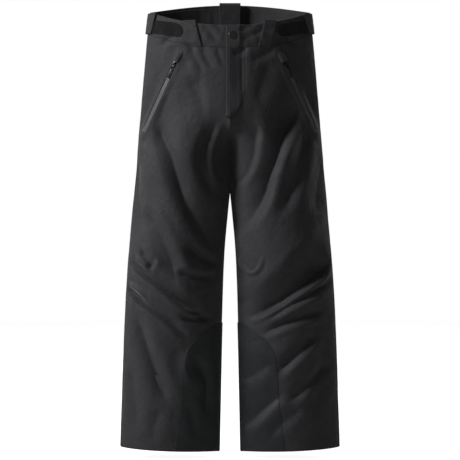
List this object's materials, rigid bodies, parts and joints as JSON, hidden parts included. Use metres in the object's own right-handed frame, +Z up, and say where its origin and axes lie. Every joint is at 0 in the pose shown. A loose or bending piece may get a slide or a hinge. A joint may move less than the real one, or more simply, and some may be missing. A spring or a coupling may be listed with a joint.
{
  "type": "ski pants",
  "caption": "Black insulated ski pants with a fly and snap, side waist tabs, slanted zip pockets, brace loops, inner snow gaiters and scuff guards.",
  "frame": {"origin": "middle of the waist opening, level with the top of the waistband at the side seams", "axes": "+Z up as worn, front of the pants towards -Y, the wearer's left towards +X"},
  "size_m": [0.507, 0.1808, 1.0382],
  "materials": {
    "shell_cloth": "matte near-black woven nylon shell",
    "guard_cloth": "smooth tough woven nylon, slightly cooler black",
    "loop_pile": "fuzzy nylon loop pile and hooks",
    "inner_cloth": "thin black lining cloth",
    "zip_tape": "grey film-coated water-resistant zip tape, satin",
    "zip_plastic": "moulded black zip coil and grip",
    "zip_metal": "dark plated zinc",
    "snap_metal": "matte black lacquered brass",
    "elastic": "ribbed black elastic"
  },
  "bodies": {
    "trousers": {"right_pocket_zip_tape_front": "zip_tape", "right_pocket_zip_tape_side": "zip_tape", "right_pocket_zip_coil": "zip_plastic", "right_pocket_zip_garage": "shell_cloth", "right_front_panel": "shell_cloth", "right_back_panel": "shell_cloth", "right_pocket_bag": "inner_cloth", "right_adjuster_loop_strip": "loop_pile", "right_front_suspender_loop": "shell_cloth", "right_scuff_guard": "guard_cloth", "right_snow_gaiter": "inner_cloth", "right_gaiter_elastic": "elastic", "right_hem_facing": "inner_cloth", "left_pocket_zip_tape_side": "zip_tape", "left_pocket_zip_tape_front": "zip_tape", "left_pocket_zip_coil": "zip_plastic", "left_pocket_zip_garage": "shell_cloth", "left_front_panel": "shell_cloth", "left_back_panel": "shell_cloth", "left_pocket_bag": "inner_cloth", "left_adjuster_loop_strip": "loop_pile", "left_front_suspender_loop": "shell_cloth", "left_scuff_guard": "guard_cloth", "left_snow_gaiter": "inner_cloth", "left_gaiter_elastic": "elastic", "left_hem_facing": "inner_cloth", "fly_zip_tape_right": "zip_plastic", "fly_zip_tape_left": "zip_plastic", "fly_zip_coil": "zip_plastic", "fly_shield": "inner_cloth", "right_front_waistband": "shell_cloth", "left_front_waistband": "shell_cloth", "waistband_underlap": "inner_cloth", "snap_stud": "snap_metal", "snap_post": "snap_metal", "back_waistband": "shell_cloth", "waist_elastic": "elastic"},
    "fly_flap": {"fly_flap": "shell_cloth", "waistband_overlap": "shell_cloth", "snap_cap": "snap_metal", "snap_socket": "snap_metal"},
    "fly_slider": {"fly_zip_slider": "zip_metal", "fly_zip_pull": "zip_metal"},
    "back_brace_loop": {"back_suspender_loop": "shell_cloth"},
    "right_pocket_slider": {"right_pocket_zip_slider": "zip_metal"},
    "right_pocket_pull": {"right_pocket_zip_pull": "zip_metal", "right_pocket_zip_grip": "zip_plastic"},
    "right_waist_tab": {"right_adjuster_tab": "shell_cloth", "right_adjuster_hook_strip": "loop_pile"},
    "left_pocket_slider": {"left_pocket_zip_slider": "zip_metal"},
    "left_pocket_pull": {"left_pocket_zip_pull": "zip_metal", "left_pocket_zip_grip": "zip_plastic"},
    "left_waist_tab": {"left_adjuster_tab": "shell_cloth", "left_adjuster_hook_strip": "loop_pile"}
  },
  "joints": [
    {"name": "fly_flap_open", "type": "hinge", "parent": "trousers", "child": "fly_flap", "pos_m": [0.03105, -0.06171, -0.03596], "axis": [0, 0.0673, 0.9977], "range_deg": [0, 90]},
    {"name": "fly_slide", "type": "slide", "parent": "trousers", "child": "fly_slider", "axis": [-0.0008, -0.0679, -0.9977], "range_m": [0, 0.127]},
    {"name": "back_loop_tip", "type": "hinge", "parent": "trousers", "child": "back_brace_loop", "pos_m": [0, 0.06501, -0.05011], "axis": [1, 0, 0], "range_deg": [0, 45]},
    {"name": "right_pocket_slide", "type": "slide", "parent": "trousers", "child": "right_pocket_slider", "axis": [-0.4219, 0.1522, -0.8938], "range_m": [0, 0.164]},
    {"name": "right_pocket_pull_flip", "type": "hinge", "parent": "right_pocket_slider", "child": "right_pocket_pull", "pos_m": [-0.12709, -0.04645, -0.12144], "axis": [-0.7762, 0.4487, 0.4428], "range_deg": [0, 95]},
    {"name": "right_tab_open", "type": "hinge", "parent": "trousers", "child": "right_waist_tab", "pos_m": [-0.16498, 0.01724, -0.00296], "axis": [-0.107, 0.0429, -0.9933], "range_deg": [0, 80]},
    {"name": "left_pocket_slide", "type": "slide", "parent": "trousers", "child": "left_pocket_slider", "axis": [0.4219, 0.1522, -0.8938], "range_m": [0, 0.164]},
    {"name": "left_pocket_pull_flip", "type": "hinge", "parent": "left_pocket_slider", "child": "left_pocket_pull", "pos_m": [0.12709, -0.04645, -0.12144], "axis": [-0.7762, -0.4487, -0.4428], "range_deg": [0, 95]},
    {"name": "left_tab_open", "type": "hinge", "parent": "trousers", "child": "left_waist_tab", "pos_m": [0.16498, 0.01724, -0.00296], "axis": [-0.107, -0.0429, 0.9933], "range_deg": [0, 80]}
  ]
}
